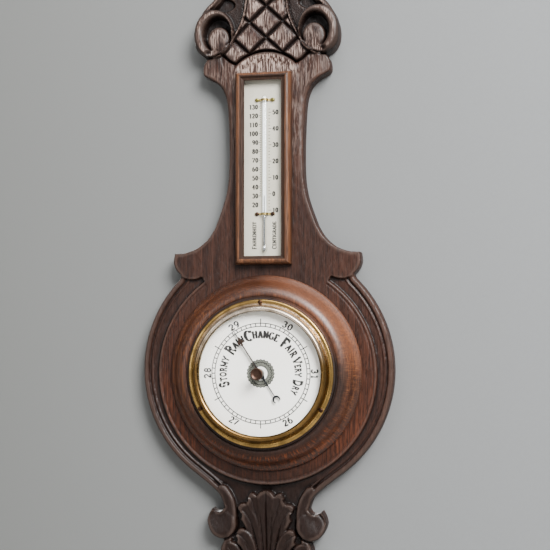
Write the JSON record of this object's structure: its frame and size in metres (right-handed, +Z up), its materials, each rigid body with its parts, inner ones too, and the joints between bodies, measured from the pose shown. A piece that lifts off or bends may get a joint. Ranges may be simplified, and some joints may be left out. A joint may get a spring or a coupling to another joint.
{
  "type": "aneroid barometer",
  "caption": "Wall-hung aneroid barometer in a carved oak banjo case with a round brass-bezelled dial below and a boxed mercury thermometer on its neck.",
  "frame": {"origin": "where the dial's axis meets the wall plane behind the case", "axes": "+X right as seen from the front, +Z up, the front faces -Y, and the wall is the plane y = 0"},
  "size_m": [0.318, 0.0741, 0.83],
  "materials": {
    "carved_oak": "waxed open-grained dark oak, carved",
    "turned_oak": "polished turned oak, redder than the case",
    "frame_wood": "satin moulding",
    "bezel_brass": "polished, lightly tarnished",
    "plain_brass": "satin, tarnished",
    "steel": "fine machined",
    "blued_steel": "dark blued, polished",
    "nickel": "thin corrugated nickel silver",
    "tinplate": "dull tinned sheet",
    "dial_white": "off-white enamelled plate with grey printing",
    "scale_white": "milk-white scale with grey printing",
    "clear_glass": "polished",
    "mercury": "liquid metal",
    "coppery_knob": "dark coppery brown, worn"
  },
  "bodies": {
    "case": {"arbor_bridge": "plain_brass", "bezel": "bezel_brass", "bezel_glass": "clear_glass", "bezel_screw_1": "bezel_brass", "bezel_screw_2": "bezel_brass", "bezel_screw_3": "bezel_brass", "bridge_screw_1": "steel", "bridge_screw_2": "steel", "capsule_lower": "nickel", "case_board": "carved_oak", "dial_pillar_1": "plain_brass", "dial_pillar_2": "plain_brass", "dial_pillar_3": "plain_brass", "dial_plate": "dial_white", "glass_retaining_ring": "plain_brass", "hairspring": "blued_steel", "hanger_plate": "plain_brass", "hanger_screw_1": "steel", "hanger_screw_2": "steel", "mercury_bulb": "mercury", "mercury_thread": "mercury", "movement_base_plate": "plain_brass", "rear_cover": "tinplate", "rear_cover_screw_1": "steel", "rear_cover_screw_2": "steel", "rear_cover_screw_3": "steel", "rocker_bracket_1": "plain_brass", "rocker_bracket_2": "plain_brass", "set_bush": "plain_brass", "spring_block": "plain_brass", "spring_screw_1": "steel", "spring_screw_2": "steel", "thermometer_glass": "clear_glass", "thermometer_rail_bottom": "frame_wood", "thermometer_rail_left": "frame_wood", "thermometer_rail_right": "frame_wood", "thermometer_rail_top": "frame_wood", "thermometer_scale": "scale_white", "thermometer_tube": "clear_glass", "tube_clip_lower": "plain_brass", "tube_clip_lower_screw_1": "plain_brass", "tube_clip_lower_screw_2": "plain_brass", "tube_clip_upper": "plain_brass", "tube_clip_upper_screw_1": "plain_brass", "tube_clip_upper_screw_2": "plain_brass", "turned_surround": "turned_oak"},
    "hand": {"hand_arbor": "steel", "indicating_hand": "blued_steel"},
    "set_pointer": {"set_knob": "coppery_knob", "set_hand": "coppery_knob"},
    "spring_lever": {"main_spring": "steel", "main_lever": "plain_brass"},
    "capsule_lid": {"capsule_upper": "nickel"},
    "link": {"link_rod": "steel"},
    "rocker": {"rocker_shaft": "steel"},
    "pull_chain": {"chain": "steel"},
    "calibration": {"calibration_screw": "steel"},
    "meniscus": {"mercury_meniscus": "mercury"}
  },
  "joints": [
    {"name": "hand_turn", "type": "hinge", "parent": "case", "child": "hand", "pos_m": [0, 0, 0], "axis": [0, 1, 0], "range_deg": [-177, 123]},
    {"name": "set_turn", "type": "hinge", "parent": "case", "child": "set_pointer", "pos_m": [0, 0, 0], "axis": [0, 1, 0], "continuous": true},
    {"name": "rocker_turn", "type": "hinge", "parent": "case", "child": "rocker", "pos_m": [0.046, -0.014, 0], "axis": [0, 0, 1], "range_deg": [-17.8, 12.5]},
    {"name": "lever_flex", "type": "hinge", "parent": "case", "child": "spring_lever", "pos_m": [-0.05, -0.0207, 0], "axis": [0, 0, 1], "range_deg": [-0.72, 0.51]},
    {"name": "lid_travel", "type": "slide", "parent": "case", "child": "capsule_lid", "axis": [0, 1, 0], "range_m": [-0.00063, 0.00044]},
    {"name": "link_travel", "type": "slide", "parent": "case", "child": "link", "axis": [0, 1, 0], "range_m": [-0.00125, 0.00088]},
    {"name": "chain_pull", "type": "slide", "parent": "case", "child": "pull_chain", "axis": [1, 0, 0], "range_m": [-0.0075, 0.0053]},
    {"name": "calibration_turn", "type": "hinge", "parent": "case", "child": "calibration", "pos_m": [-0.044, 0, 0], "axis": [0, 1, 0], "range_deg": [-360, 360]},
    {"name": "mercury_rise", "type": "slide", "parent": "case", "child": "meniscus", "axis": [0, 0, 1], "range_m": [-0.035, 0.11], "deforming": ["mercury_thread"]}
  ],
  "couplings": [
    {"joint": "rocker_turn", "follows": "hand_turn", "ratio": 0.1},
    {"joint": "chain_pull", "follows": "hand_turn", "m_per_rad": 0.0024},
    {"joint": "link_travel", "follows": "hand_turn", "m_per_rad": 0.0004},
    {"joint": "lever_flex", "follows": "hand_turn", "ratio": 0.004},
    {"joint": "lid_travel", "follows": "hand_turn", "m_per_rad": 0.0002}
  ]
}
